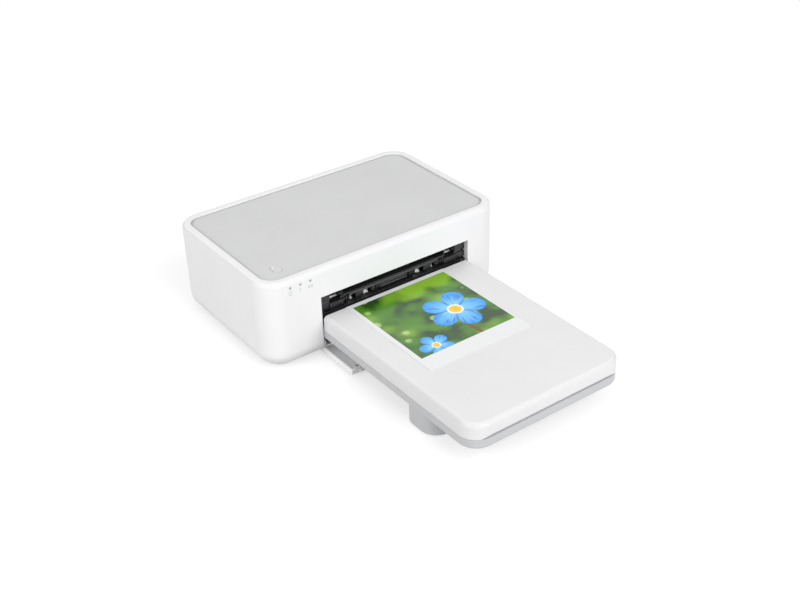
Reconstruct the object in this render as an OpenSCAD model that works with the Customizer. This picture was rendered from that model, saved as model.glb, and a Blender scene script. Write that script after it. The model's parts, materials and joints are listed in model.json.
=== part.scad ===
/* [Housing] */
// Room left of the mouth, for the gears and the button
room_l = 41.65; // [41:0.05:60]
// Room right of the mouth, for the ribbon door
room_r = 29.15; // [29:0.05:45]
// Depth of the housing from front to back
body_d = 123.6; // [118:0.2:150]
// Height of the moulded shell above its feet
body_h = 66.2; // [65:0.2:80]
// Radius of the upright corners
corner_r = 17; // [14:0.2:19]
// Fillet between the walls and the underside
base_fillet = 12; // [7:0.5:12.5]
// Wall thickness of the moulded shell
wall = 2.4; // [2:0.1:2.8]
// Width of the rim around the top panel
rim_w = 6; // [5:0.1:6.2]
// Rounding on the outer edge of the rim
rim_round = 2.6; // [1:0.1:3]
// Depth of the top panel below the rim
panel_drop = 1; // [0.5:0.1:2]
// Thickness of the top panel
panel_t = 1.8; // [1.5:0.1:2.5]
// Height of the rubber feet
foot_h = 2; // [1.5:0.1:3]

/* [Mouth and front door] */
// Top of the mouth above the table
mouth_top = 47.3; // [46:0.1:52]
// Side clearance between the mouth and the paper tray
tray_gap = 0.5; // [0.3:0.1:1]
// Distance of the exit rollers behind the front face
exit_y = 11; // [10.5:0.1:12]
// Thickness of the return walls inside the mouth
jamb_t = 2; // [1.6:0.1:2.4]
// Distance of the door hinge behind the front face
door_pivot_y = 6; // [5:0.2:7]
// Height of the door hinge above the table
door_pivot_z = 9; // [8.5:0.1:10]
// Thickness of the door
door_t = 2.6; // [2:0.1:3]
// Height of the rim on the inside of the door
door_rim = 1; // [0.6:0.1:1.4]

/* [Paper tray] */
// Width of the paper tray
tray_w = 122.6; // [118:0.2:150]
// Reach of the tray in front of the housing
tray_out = 156.4; // [140:0.2:190]
// Length of the tray inside the housing
tray_in = 24; // [18:0.5:27]
// Height of the tray's underside above the table
tray_z = 14.9; // [14:0.1:16]
// Height of the tray base up to the seam with its lid
tray_base_h = 6.5; // [6:0.1:7]
// Seam between the tray and its lid
seam_gap = 0.2; // [0.1:0.05:0.3]
// Height of the lid's top above the tray base
lid_h = 11.2; // [10:0.1:11.5]
// Plan radius of the tray's front corners
tray_corner_r = 13.4; // [9:0.2:20]
// Rounding of the lid's top edges
lid_round = 3; // [2.5:0.1:6]
// Wall thickness of the tray and the lid
tray_t = 2; // [1.6:0.1:2.4]
// Radius of the hinge bead along the lid's front edge
lid_bead_r = 2.4; // [2.2:0.1:2.6]
// Length of the tray foot from front to back
tray_foot_d = 32; // [26:0.5:40]
// Plan radius of the tray foot's corners
tray_foot_r = 12; // [8:0.5:13]
// Distance of the tray foot behind the tray's front edge
tray_foot_y = 39.6; // [30:0.2:50]

/* [Print] */
// Width of the print
print_w = 82; // [70:0.5:100]
// Length of the print
print_l = 93.3; // [80:0.1:120]
// Thickness of the print
print_t = 0.4; // [0.3:0.05:0.6]

/* [Ribbon door] */
// Distance of the ribbon door behind the front face
side_door_y = 22; // [20:0.5:26]
// Length of the ribbon door
side_door_l = 82; // [80:0.5:90]
// Lower edge of the ribbon door above the table
side_door_z = 36.3; // [35:0.1:37]
// Height of the ribbon door
side_door_h = 23; // [22:0.1:24]
// Running gap round doors, lid and panel
gap = 0.3; // [0.2:0.05:0.4]

/* [Drive] */
// Module of the gear teeth
tooth_m = 0.8; // [0.8]
// Face width of the gears
gear_w = 5; // [3:0.5:7]
// Radius of the feed roller
feed_r = 4.2; // [3.5:0.1:4.5]
// Radius of the platen roller
platen_r = 6.5; // [5.5:0.1:7]
// Radius of the driven exit rollers
exit_r = 3.4; // [3:0.1:3.6]
// Radius of the idle exit rollers
idle_r = 3; // [2.5:0.1:3.2]
// Radius of the pinch roller
pinch_r = 3; // [2.5:0.1:3.2]
// Radius of the roller shafts
shaft_r = 1.5; // [1.2:0.1:1.8]
// Running clearance between a shaft and its bush
run_gap = 0.05; // [0.03:0.01:0.08]
// Thickness of the side plates
plate_t = 1.5; // [1.2:0.1:2]

/* [Hidden] */
$fn = 48;

// Frame: x = 0 is the middle of the housing, y = 0 the middle of the whole part, z = 0 the table
face_y = (tray_out - body_d) / 2;
shell_top = foot_h + body_h;
mouth_w = tray_w + 2 * tray_gap;
body_w = room_l + mouth_w + room_r;
mouth_x = (room_l - room_r) / 2;
mouth_l = mouth_x - mouth_w / 2;
mouth_r = mouth_x + mouth_w / 2;
flange_inset = base_fillet + 3;
panel_top = shell_top - panel_drop;
panel_z = panel_top - panel_t;
ledge_t = 1.8;
ledge_w = 1.6;
ledge_z = panel_z - ledge_t;

floor_top = foot_h + wall + 2;

// Tray levels
seam_z = tray_z + tray_base_h;
lid_top = seam_z + lid_h;
tray_l = mouth_x - tray_w / 2;
tray_r = mouth_x + tray_w / 2;
tray_inner_h = 9.1;

// Paper path and shaft centres, given as [y behind the front face, z above the table]
exit_path = lid_top + 0.6;
path_z = lid_top + 2.6;
exit_c = [exit_y, exit_path + exit_r];
idle_c = [exit_y, exit_path - 0.1 - idle_r];
pickup_r = 4.4;
pickup_c = [exit_y + 7.2, tray_z + tray_inner_h + 0.3 + pickup_r];
platen_c = [58, path_z - platen_r];
feed_c = [72, path_z - feed_r];
pinch_c = [71, path_z + 0.1 + pinch_r];
takeup_c = [38, path_z + 12.3];
supply_c = [88, path_z + 12.8];
motor_c = [98, 20];
head_pivot = [72, path_z + 21.8];
takeup_case_r = 9.5;
supply_case_r = 10.5;

// Gear teeth and the centres that their meshing sets
feed_n = 20;
long_n = 36;
front_n = 30;
exit_n = 16;
takeup_n = 27;
motor_idler_n = 22;
pinion_n = 12;
function pitch_r(n) = tooth_m * n / 2;
function reach(n1, n2) = pitch_r(n1) + pitch_r(n2);
function bearing(a, b) = atan2(b[1] - a[1], b[0] - a[0]);

// The point at distance ra from a and rb from b, on the side that s gives
function meet(a, ra, b, rb, s) =
    let (d = norm(b - a), u = (b - a) / d, q = (ra * ra - rb * rb + d * d) / (2 * d),
        h = sqrt(ra * ra - q * q))
    a + q * u + s * h * [-u[1], u[0]];

// Phase that sets a gear's gap against the tooth of the gear it meshes with
function mesh_phase(n1, phase1, n2, angle) =
    angle + 180 - (180 - n1 * (angle - phase1)) / n2;

long_c = meet(feed_c, reach(feed_n, long_n), takeup_c, reach(long_n, takeup_n), 1);
front_c = meet(long_c, reach(long_n, front_n), exit_c, reach(front_n, exit_n), 1);
motor_idler_c = meet(motor_c, reach(pinion_n, motor_idler_n), feed_c, reach(motor_idler_n, feed_n), 1);
long_phase = mesh_phase(feed_n, 0, long_n, bearing(feed_c, long_c));
takeup_phase = mesh_phase(long_n, long_phase, takeup_n, bearing(long_c, takeup_c));
front_phase = mesh_phase(long_n, long_phase, front_n, bearing(long_c, front_c));
exit_phase = mesh_phase(front_n, front_phase, exit_n, bearing(front_c, exit_c));
motor_idler_phase = mesh_phase(feed_n, 0, motor_idler_n, bearing(feed_c, motor_idler_c));
pinion_phase = mesh_phase(motor_idler_n, motor_idler_phase, pinion_n, bearing(motor_idler_c, motor_c));

// Side plates stand just outside the return walls of the mouth
plate_gap = 0.4;
left_plate_x = mouth_l - jamb_t - plate_gap - plate_t;
right_plate_x = mouth_r + jamb_t + plate_gap;
bush_over = 1;
bush_r = shaft_r + 1.1;
bush_flange_r = (exit_r + idle_r) / 2 - 0.1;
jamb_d = exit_y - bush_r - 0.1;
gear_x = left_plate_x - bush_over - 1 - gear_w;

// Screws, feet and posts
screw_x = body_w / 2 - flange_inset - 3.6;
screw_ys = [36, body_d - 33.6];
foot_r = 6;
foot_inset = flange_inset + foot_r + 1.7;
foot_x = body_w / 2 - foot_inset;
foot_ys = [foot_inset, body_d - foot_inset];

// Button and lamps
button_x = -body_w / 2 + 21.5;
button_y = 20.4;
lamp_xs = [-body_w / 2 + 19.3, -body_w / 2 + 26.9, -body_w / 2 + 34.5];
lamp_z = 62.9;
lamp_r = 0.9;
lamp_board_y = rim_w + ledge_w + 1.6;

module from_face() translate([0, face_y, 0]) children();

// A rod, ring or gear blank along x, from x0 for a length, centred on c = [y, z]
module along_x(x0, c) translate([x0, c[0], c[1]]) rotate([90, 0, 90]) children();

// Rounded rectangle, centred in x, from y = 0 to d
module round_rect(w, d, r) {
    translate([-w / 2 + r, 0]) square([w - 2 * r, d]);
    translate([-w / 2, r]) square([w, d - 2 * r]);
    for (x = [-1, 1], y = [r, d - r]) translate([x * (w / 2 - r), y]) circle(r);
}

// The same outline, let in from the housing's own outline by a distance
module inset_outline(inset) {
    translate([0, inset]) round_rect(body_w - 2 * inset, body_d - 2 * inset, max(corner_r - inset, 2));
}

module inset_prism(inset, z0, z1) {
    translate([0, 0, z0]) linear_extrude(z1 - z0) inset_outline(inset);
}

// Section through a moulded wall, with its lower and upper outer edges rounded
module edge_section(r, h, low, high) {
    difference() {
        square([r, h]);
        if (low > 0) difference() {
            translate([r - low, -1]) square([low + 1, low + 1]);
            translate([r - low, low]) circle(low);
        }
        if (high > 0) difference() {
            translate([r - high, h - high]) square([high + 1, high + 1]);
            translate([r - high, h - high]) circle(high);
        }
    }
}

// A moulded block: round upright corners, and rounded lower and upper edges
module moulded_block(w, d, h, r, low, high) {
    if (low == 0 && high == 0) linear_extrude(h) round_rect(w, d, r);
    else rounded_block(w, d, h, r, low, high);
}

module rounded_block(w, d, h, r, low, high) {
    for (sx = [0, 1]) mirror([sx, 0, 0]) {
        translate([w / 2 - r, d - r, 0]) rotate_extrude(angle = 90) edge_section(r, h, low, high);
        translate([w / 2 - r, r, 0]) mirror([0, 1, 0])
            rotate_extrude(angle = 90) edge_section(r, h, low, high);
        translate([w / 2 - r, d - r, 0]) rotate([90, 0, 0])
            linear_extrude(d - 2 * r) edge_section(r, h, low, high);
    }
    translate([r - w / 2, d - r, 0]) rotate([90, 0, 90]) linear_extrude(w - 2 * r)
        edge_section(r, h, low, high);
    translate([r - w / 2, r, 0]) mirror([0, 1, 0]) rotate([90, 0, 90]) linear_extrude(w - 2 * r)
        edge_section(r, h, low, high);
    translate([r - w / 2, r, 0]) cube([w - 2 * r, d - 2 * r, h]);
}

// Involute tooth outline, with a little backlash
backlash = 0.16;
function inv_point(rb, t) = rb * [cos(t) + t * PI / 180 * sin(t), sin(t) - t * PI / 180 * cos(t)];
function inv_angle(rb, r) = r <= rb ? 0 : sqrt(r * r / (rb * rb) - 1) * 180 / PI;
function turn(p, a) = [p[0] * cos(a) - p[1] * sin(a), p[0] * sin(a) + p[1] * cos(a)];
function flank(rb, r, half) =
    let (t = inv_angle(rb, r), p = inv_point(rb, t))
    turn([norm(p), 0], atan2(p[1], p[0]) - half);
function gear_tooth(n, i) =
    let (rp = pitch_r(n), rb = rp * cos(20), ra = rp + 0.92 * tooth_m, rf = rp - 1.2 * tooth_m,
        tp = inv_angle(rb, rp), at_pitch = tp - atan(tp * PI / 180),
        half = 90 / n + at_pitch - backlash / rp * 180 / PI / 2,
        r0 = max(rb, rf + 0.05),
        rs = [r0, (r0 + rp) / 2, rp, (rp + ra) / 2, ra],
        left = [for (r = rs) flank(rb, r, half)],
        c = 360 * i / n)
    concat([turn([rf, 0], c - half - 0.02)],
        [for (p = left) turn(p, c)],
        [for (k = [len(left) - 1:-1:0]) turn([left[k][0], -left[k][1]], c)],
        [turn([rf, 0], c + half + 0.02)]);

module gear_outline(n, phase) {
    rotate(phase) polygon([for (i = [0:n - 1]) each gear_tooth(n, i)]);
}

// ---------- housing ----------

side_pivot = [body_w / 2 - 1.6, side_door_z + gap + 1.6];
pin_r = 1;
door_pin_r = 1.5;
post_r = 3.6;

// Upright block in the plane of a side wall: y0 to y1, z0 to z1, through the wall
module right_wall_block(y0, y1, z0, z1, x_in, x_out) {
    translate([body_w / 2 - x_in, y0, z0]) cube([x_in + x_out, y1 - y0, z1 - z0]);
}

// Side view of a return wall; its lower front corner stays inside the base fillet
module return_wall_outline() difference() {
    z0 = foot_h + wall - 0.5;
    translate([wall - 1, z0]) square([jamb_d - wall + 1, mouth_top + jamb_t - z0]);
    difference() {
        translate([0, foot_h]) square(base_fillet);
        translate([base_fillet, foot_h + base_fillet]) circle(base_fillet - 0.5);
    }
}

module mouth_lining() {
    for (x = [mouth_l - jamb_t, mouth_r])
        along_x(x, [0, 0]) linear_extrude(jamb_t) return_wall_outline();
    translate([mouth_l - jamb_t, wall - 1, mouth_top]) cube([mouth_w + 2 * jamb_t, 4, jamb_t]);
}

// Posts for the screws that hold the base plate, each tied to the side wall by a web
module screw_posts() {
    for (sx = [0, 1], y = screw_ys) mirror([sx, 0, 0]) {
        translate([screw_x, y, floor_top + 0.05]) cylinder(h = 26, r = post_r);
        translate([screw_x, y - 1, floor_top + base_fillet])
            cube([body_w / 2 - wall / 2 - screw_x, 2, 26 - base_fillet]);
    }
}

module lamp_board_posts() {
    for (x = [lamp_xs[0] + 1.5, lamp_xs[2] + 3.5]) translate([x, wall - 1, lamp_z - 6])
        rotate([-90, 0, 0]) cylinder(h = lamp_board_y - wall + 1, r = 1.8);
}

module rear_vents() {
    for (i = [0:9]) translate([body_w / 2 - 40 - i * 5, body_d - wall - 1, 14])
        cube([2.4, wall + 2, 14]);
}

slot_h = 4.6;
slot_w = 106;
inlet_x = -body_w / 2 + 26;
inlet_z = foot_h + base_fillet + 5.6;
inlet_r = 3.2;

module outer_shell() color("white") from_face() difference() {
    union() {
        difference() {
            translate([0, 0, foot_h])
                moulded_block(body_w, body_d, body_h, corner_r, base_fillet, rim_round);
            translate([0, wall, foot_h + wall]) moulded_block(body_w - 2 * wall, body_d - 2 * wall,
                ledge_z - foot_h - wall, corner_r - wall, base_fillet - wall, 0);
            inset_prism(rim_w + ledge_w, ledge_z - 1, shell_top + 1);
            inset_prism(rim_w, panel_z, shell_top + 2);
            inset_prism(flange_inset, foot_h - 1, foot_h + wall + 1);
        }
        mouth_lining();
        screw_posts();
        lamp_board_posts();
        for (y = [side_door_y - 4, side_door_y + side_door_l])
            right_wall_block(y, y + 4, side_pivot[1] - 3, side_pivot[1] + 3, wall + 2, -wall / 2);
    }
    // Mouth, open at the bottom for the door
    translate([mouth_l, -1, -1]) cube([mouth_w, jamb_d + 1, mouth_top + 1]);
    for (x = [mouth_l - jamb_t - 1, mouth_r - 1])
        along_x(x, [door_pivot_y, door_pivot_z]) cylinder(h = jamb_t + 2, r = door_pin_r + run_gap);
    // Ribbon door opening and its pin holes
    right_wall_block(side_door_y, side_door_y + side_door_l, side_door_z, side_door_z + side_door_h,
        wall + 3, 1);
    translate([side_pivot[0], side_door_y + side_door_l + 2.6, side_pivot[1]]) rotate([90, 0, 0])
        cylinder(h = side_door_l + 5.2, r = pin_r + run_gap);
    // Lamp holes, rear paper slot, vents, inlet and screw pilots
    for (x = lamp_xs) translate([x, -1, lamp_z]) rotate([-90, 0, 0])
        cylinder(h = lamp_board_y, r = lamp_r + run_gap);
    translate([mouth_x - slot_w / 2, body_d - wall - 1, path_z - slot_h / 2])
        cube([slot_w, wall + 2, slot_h]);
    rear_vents();
    translate([inlet_x, body_d - wall - 1, inlet_z]) rotate([-90, 0, 0])
        cylinder(h = wall + 2, r = inlet_r + 1.2);
    for (sx = [-1, 1], y = screw_ys) translate([sx * screw_x, y, floor_top - 1])
        cylinder(h = 14, r = 1.25);
}

// ---------- top ----------

button_w = 6.4;
button_l = 10;
button_flange = 1.2;
switch_z = panel_z - 7.8;
switch_post_x = 6.6;

module pill(w, l) {
    for (s = [-1, 1]) translate([0, s * (l - w) / 2]) circle(w / 2);
    translate([-w / 2, -(l - w) / 2]) square([w, l - w]);
}

module top_panel() color("lightgray") from_face() {
    difference() {
        inset_prism(rim_w + gap / 2, panel_z, panel_top);
        translate([button_x, button_y, panel_z - 1]) linear_extrude(panel_t + 2)
            pill(button_w + gap, button_l + gap);
    }
    for (s = [-1, 1]) translate([button_x - switch_post_x, button_y + s * 6, switch_z])
        cylinder(h = panel_z - switch_z + 0.2, r = 1.8);
}

module power_button() color("gainsboro") from_face() translate([button_x, button_y, 0]) {
    translate([0, 0, panel_z - 0.4]) linear_extrude(panel_t + 0.6) pill(button_w, button_l);
    translate([0, 0, panel_z - 1.2]) linear_extrude(1.15)
        pill(button_w + 2 * button_flange, button_l + 2 * button_flange);
    translate([0, 0, switch_z + 2.3]) cylinder(h = 5, r = 1.6);
}

module button_switch() color("darkgreen") from_face() {
    translate([button_x - switch_post_x - 2.4, button_y - 8.5, switch_z - board_t])
        cube([switch_post_x + 6.4, 17, board_t]);
    translate([button_x - 3, button_y - 3, switch_z]) cube([6, 6, 0.9]);
    translate([button_x, button_y, switch_z + 0.8]) cylinder(h = 0.6, r = 1.7);
}

module indicator_lights() color("ghostwhite") from_face() {
    for (x = lamp_xs) translate([x, 0.1, lamp_z]) rotate([-90, 0, 0]) {
        cylinder(h = lamp_board_y - 0.2, r = lamp_r);
        translate([0, 0, lamp_board_y - 1.2]) cylinder(h = 1, r = lamp_r + 0.3);
    }
}

module light_board() color("darkgreen") from_face() {
    translate([lamp_xs[0] - 3.5, lamp_board_y, lamp_z - 9]) cube([lamp_xs[2] - lamp_xs[0] + 9, 1.4, 10]);
}

// ---------- underside ----------

rail_w = 4;
rail_y = flange_inset + 1;

module base_plate() color("whitesmoke") from_face() difference() {
    union() {
        inset_prism(flange_inset + gap, foot_h + 0.4, foot_h + wall + 0.1);
        difference() {
            inset_prism(base_fillet + 0.6, foot_h + wall, floor_top);
            translate([mouth_l - 3, 0, 0]) cube([mouth_w + 6, flange_inset + gap, 20]);
        }
        // Rails that carry the tray and the stop behind it
        for (x = [tray_l + 4, tray_r - 4 - rail_w]) translate([x, rail_y, floor_top - 1])
            cube([rail_w, tray_in - rail_y + 4, tray_z - gap - floor_top + 1]);
        for (x = [mouth_x - 40, mouth_x + 38]) translate([x, tray_in + 0.6, floor_top - 1])
            cube([2.5, 4, tray_z + 5 - floor_top]);
        // Stand-offs for the circuit board
        for (x = board_xs, y = board_ys) translate([x, y, floor_top - 1]) cylinder(h = 4.6, r = 2.6);
        // Cradle under the motor
        translate([left_plate_x + plate_t + 3, motor_c[0] - 6, floor_top - 1])
            cube([10, 12, motor_c[1] - motor_r - floor_top + 1 - gap / 3]);
        for (x = [-1, 1], y = foot_ys) translate([x * foot_x, y, foot_h + 0.4])
            cylinder(h = 4, r = foot_r + 1.2);
    }
    for (x = [-1, 1], y = foot_ys) translate([x * foot_x, y, foot_h - 1])
        cylinder(h = 2.2, r = foot_r + 0.05);
    for (sx = [-1, 1], y = screw_ys) translate([sx * screw_x, y, 0]) {
        cylinder(h = 20, r = 1.7);
        cylinder(h = foot_h + 2, r = 3.3);
    }
    for (i = [0:11]) translate([mouth_x - 44 + i * 8, body_d - 52, 0]) cube([3, 26, 12]);
}

module rubber_feet() color("dimgray") from_face() {
    for (x = [-1, 1], y = foot_ys) translate([x * foot_x, y, 0]) {
        cylinder(h = foot_h + 1.2, r = foot_r);
    }
}

module base_screws() color("silver") from_face() {
    for (sx = [-1, 1], y = screw_ys) translate([sx * screw_x, y, foot_h + 0.5]) difference() {
        union() {
            cylinder(h = 1.5, r = 2.9);
            cylinder(h = 12, r = 1.2);
        }
        for (a = [0, 90]) rotate(a) translate([-1.6, -0.35, -1]) cube([3.2, 0.7, 1.8]);
    }
}

// ---------- front door, lying open ----------

door_tip = mouth_top - door_pivot_z - door_pivot_y - gap;
door_low = door_pivot_z - door_pivot_y;
door_w = mouth_w - 2 * 0.4;

module front_door() color("white") from_face() translate([mouth_x - door_w / 2, 0, 0]) {
    difference() {
        union() {
            translate([0, -door_tip, door_low]) cube([door_w, door_tip + 3.5, door_t]);
            for (x = [0, door_w - 1.6]) translate([x, -door_tip, door_low])
                cube([1.6, door_tip + 3, door_t + door_rim]);
            translate([0, -door_tip, door_low]) cube([door_w, 1.6, door_t + door_rim]);
            for (x = [6, door_w - 12]) translate([x, -door_tip - 1, door_low + 0.4])
                cube([6, 2, 1.4]);
            for (i = [1:4]) translate([i * door_w / 5 - 0.6, -door_tip, door_low])
                cube([1.2, door_tip, door_t + 0.3]);
        }
        for (x = [5.5, door_w - 12.5]) translate([x, -door_tip + 3, door_low + 1])
            cube([7, 2, door_t + 2]);
    }
    // Arms up to the hinge pins
    for (x = [0, door_w - 3]) {
        translate([x, door_pivot_y - 3, door_low]) cube([3, 4.6, door_pivot_z - door_low]);
        along_x(x, [door_pivot_y, door_pivot_z]) cylinder(h = 3, r = 3);
    }
    along_x(-0.4 - jamb_t + 0.3, [door_pivot_y, door_pivot_z])
        cylinder(h = jamb_t + 0.4, r = door_pin_r);
    along_x(door_w - 0.3, [door_pivot_y, door_pivot_z]) cylinder(h = jamb_t + 0.4, r = door_pin_r);
}

// ---------- ribbon door in the right wall ----------

module ribbon_door() color("white") from_face() {
    y0 = side_door_y + gap;
    y1 = side_door_y + side_door_l - gap;
    top = side_door_z + side_door_h - gap;
    translate([body_w / 2 - 2.2, y0, side_pivot[1]]) cube([2.2, y1 - y0, top - side_pivot[1]]);
    translate([side_pivot[0], y1, side_pivot[1]]) rotate([90, 0, 0]) cylinder(h = y1 - y0, r = 1.6);
    translate([side_pivot[0], y1 + 2.5, side_pivot[1]]) rotate([90, 0, 0])
        cylinder(h = y1 - y0 + 5, r = pin_r);
    for (i = [1:4]) translate([body_w / 2 - 4, y0 + i * (y1 - y0) / 5, side_pivot[1] + 2])
        cube([2, 1.4, top - side_pivot[1] - 4]);
    // Catch behind the upper edge
    for (s = [0.3, 0.7]) translate([body_w / 2 - 4.2, y0 + s * (y1 - y0) - 4, top - 2.2])
        cube([2.2, 8, 1.6]);
}

// ---------- paper tray ----------

well_w = 103;
well_front = -tray_out + 2 * lid_bead_r + 0.2;
well_wall = 1.6;
well_h = tray_base_h - 1.2;
lug_x = 40;
lug_w = 6;
lug_r = 1.5;
lid_low = seam_z + seam_gap;
lid_axis = [-tray_out + lid_bead_r, lid_low + lid_bead_r];
lid_back = -0.6;
lift_axis_y = -62;
lift_z = tray_z + tray_t + 3.2;
lift_t = 1;
lift_axis = [lift_axis_y, lift_z - 1.2];
lift_ear_x = 44;

// A block of the tray's outline, let in by a distance, open-ended at y = back
module tray_block(inset, z0, z1, low, high, back) {
    len = tray_out + back;
    difference() {
        translate([mouth_x, -tray_out + inset, z0])
            moulded_block(tray_w - 2 * inset, len + 30, z1 - z0, tray_corner_r - inset, low, high);
        translate([mouth_x - tray_w, back, z0 - 5]) cube([2 * tray_w, 60, z1 - z0 + 10]);
    }
}

// Side view of a hinge arm, which reaches forward from the well's front wall to the lid's axis
module hinge_arm() {
    wall_y = well_front - lid_axis[0];
    foot_z = tray_z + tray_t - lid_axis[1];
    circle(lug_r);
    translate([0, -0.3]) square([wall_y + well_wall, lug_r + 0.3]);
    translate([wall_y, foot_z]) square([well_wall, lug_r - foot_z]);
}

// Room in the lid for a hinge arm over the whole turn, behind an unbroken front skin
module arm_recess() {
    circle(lug_r + gap);
    translate([-0.9, -2 * lid_bead_r]) square([lid_bead_r + 1.5, 2 * lid_bead_r + lug_r + gap]);
}

module paper_tray() color("gainsboro") from_face() {
    difference() {
        union() {
            tray_block(0, tray_z, seam_z, 1.5, 0, tray_in);
            translate([tray_l, 0.4, seam_z - 1]) cube([tray_w, tray_in - 0.4, tray_inner_h - 5.5]);
        }
        tray_block(tray_t, tray_z + tray_t, tray_z + 20, 0, 0, tray_in - tray_t);
        // Low rear edge, over which the sheets leave
        translate([mouth_x - well_w / 2, tray_in - 5, seam_z - 1.5]) cube([well_w, 10, 20]);
    }
    // Walls of the paper well
    for (x = [mouth_x - well_w / 2 - well_wall, mouth_x + well_w / 2]) translate([x, well_front, tray_z + 1])
        cube([well_wall, tray_in - well_front - 1, well_h]);
    translate([mouth_x - well_w / 2, well_front, tray_z + 1]) cube([well_w, well_wall, well_h]);
    // Pivot ears of the lift plate
    for (s = [-1, 1]) translate([mouth_x + s * lift_ear_x - 1, lift_axis_y - 3, tray_z + 1])
        cube([2, 6, lift_z + lift_t - tray_z]);
    for (s = [-1, 1]) along_x(mouth_x + s * lift_ear_x - 3, lift_axis) cylinder(h = 6, r = pin_r);
    // Hinge arms and pins for the lid
    for (s = [-1, 1]) {
        along_x(mouth_x + s * lug_x - lug_w / 2, lid_axis) linear_extrude(lug_w) hinge_arm();
        along_x(mouth_x + s * lug_x - lug_w / 2 - 2.5, lid_axis) cylinder(h = lug_w + 5, r = pin_r);
    }
}

module tray_lid() color("white", 0.9) from_face() difference() {
    union() {
        difference() {
            tray_block(0, lid_low, lid_top, 0, lid_round, lid_back);
            tray_block(tray_t, seam_z - 1, lid_top - tray_t, 0, lid_round - tray_t, lid_back + 1);
        }
        along_x(tray_l + tray_corner_r, lid_axis) cylinder(h = tray_w - 2 * tray_corner_r, r = lid_bead_r);
    }
    // Front lower edge rounded about the hinge axis
    difference() {
        translate([tray_l - 1, -tray_out - 1, lid_low - 1])
            cube([tray_w + 2, lid_bead_r + 1, lid_bead_r + 1]);
        along_x(tray_l - 2, lid_axis) cylinder(h = tray_w + 4, r = lid_bead_r);
    }
    for (s = [-1, 1]) {
        along_x(mouth_x + s * lug_x - lug_w / 2 - gap, lid_axis) linear_extrude(lug_w + 2 * gap) arm_recess();
        along_x(mouth_x + s * lug_x - lug_w / 2 - 3, lid_axis) cylinder(h = lug_w + 6, r = pin_r + run_gap);
    }
}

tray_foot_w = tray_w - 2.6;
foot_lift = 0.8;
pad_r = 8;
pad_h = 1.2;

module tray_pad(r) {
    for (s = [-1, 1])
        translate([mouth_x + s * (tray_foot_w / 2 - 15), -tray_out + tray_foot_y + tray_foot_d / 2, 0])
        cylinder(h = pad_h, r = r);
}

// Hollow foot, open at the top where it meets the tray
module tray_foot() color("gainsboro") from_face() difference() {
    translate([mouth_x, -tray_out + tray_foot_y, foot_lift]) linear_extrude(tray_z - foot_lift)
        round_rect(tray_foot_w, tray_foot_d, tray_foot_r);
    translate([mouth_x, -tray_out + tray_foot_y + tray_t, foot_lift + tray_t]) linear_extrude(tray_z)
        round_rect(tray_foot_w - 2 * tray_t, tray_foot_d - 2 * tray_t, tray_foot_r - tray_t);
    tray_pad(pad_r + run_gap);
}

module tray_pads() color("dimgray") from_face() tray_pad(pad_r);

module lift_plate() color("silver") from_face() difference() {
    union() {
        translate([mouth_x - 49, lift_axis_y - 4, lift_z]) cube([98, tray_in - lift_axis_y - 6, lift_t]);
        for (x = [mouth_x - lift_ear_x + 2.1, mouth_x + lift_ear_x - 3.6])
            translate([x, lift_axis_y - 3, lift_z - 2.6]) cube([1.5, 6, 3]);
    }
    for (s = [-1, 1]) {
        translate([mouth_x + s * lift_ear_x - 1.4, lift_axis_y - 5, lift_z - 1]) cube([2.8, 9, 4]);
        along_x(mouth_x + s * lift_ear_x - 6, lift_axis) cylinder(h = 12, r = pin_r + run_gap);
    }
    translate([mouth_x - 18, tray_in - 26, lift_z - 1]) cube([36, 9, 3]);
}

// A wire coil standing on z = 0: radius of the coil, radius of the wire, height and turns
module coil(r, wire, h, turns) {
    sides = 8;
    steps = 18 * turns;
    function ring(k) =
        let (a = 20 * k, c = wire + (h - 2 * wire) * k / steps)
        [for (j = [0:sides - 1])
            let (q = 360 * j / sides, rr = r + wire * cos(q))
            [rr * cos(a), rr * sin(a), c + wire * sin(q)]];
    points = [for (k = [0:steps]) each ring(k)];
    sidesf = [for (k = [0:steps - 1], j = [0:sides - 1])
        [k * sides + j, k * sides + (j + 1) % sides, (k + 1) * sides + (j + 1) % sides, (k + 1) * sides + j]];
    ends = [[for (j = [sides - 1:-1:0]) j], [for (j = [0:sides - 1]) steps * sides + j]];
    polyhedron(points, concat(sidesf, ends), convexity = 6);
}

module lift_springs() color("silver") from_face() {
    for (s = [-1, 1]) translate([mouth_x + s * 30, 6, tray_z + tray_t])
        coil(3.5, 0.35, lift_z - tray_z - tray_t, 3);
}

// The print lies a little left of the middle, its rear edge just out of the mouth
print_aside = 2.85;
print_out = 0.8;

module print_sheet() color("white") from_face() {
    translate([mouth_x - print_aside - print_w / 2, -print_out - print_l, lid_top + 0.05])
        cube([print_w, print_l, print_t]);
}

// ---------- exit mechanism, seen in the mouth ----------

guide_y = 3;
guide_d = 11;
guide_bar = 1.2;
guide_top = exit_path + 2 * exit_r + guide_bar;
guide_low = exit_path + 0.4;
hood_top = mouth_top - gap;
hood_low = guide_low + 3;
rod_r = 0.9;
rod_c = [guide_y + 1.2, guide_top - guide_bar - 1.2];

// Offsets of the guide's features from the middle of the mouth, on both sides
louvre_half = 11.5;
slat_r = 0.85;
slat_pitch = (guide_top - guide_low) / 4;
rib_sets = [12.6, 37.4];
inner_panel = [26, 31.5];
shelf_panel = [42.6, 53];
end_panel = [53, mouth_w / 2 - gap];
shelf_w = shelf_panel[1] - shelf_panel[0] + 0.5;
guide_wall = 1.6;
roller_spots = [[19.2, 25], [32.4, 36.2]];

// Left end of a roller that spans w, on the side that s gives
function spot_x(s, w) = mouth_x + s * (w[0] + w[1]) / 2 - (w[1] - w[0]) / 2;

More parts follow.
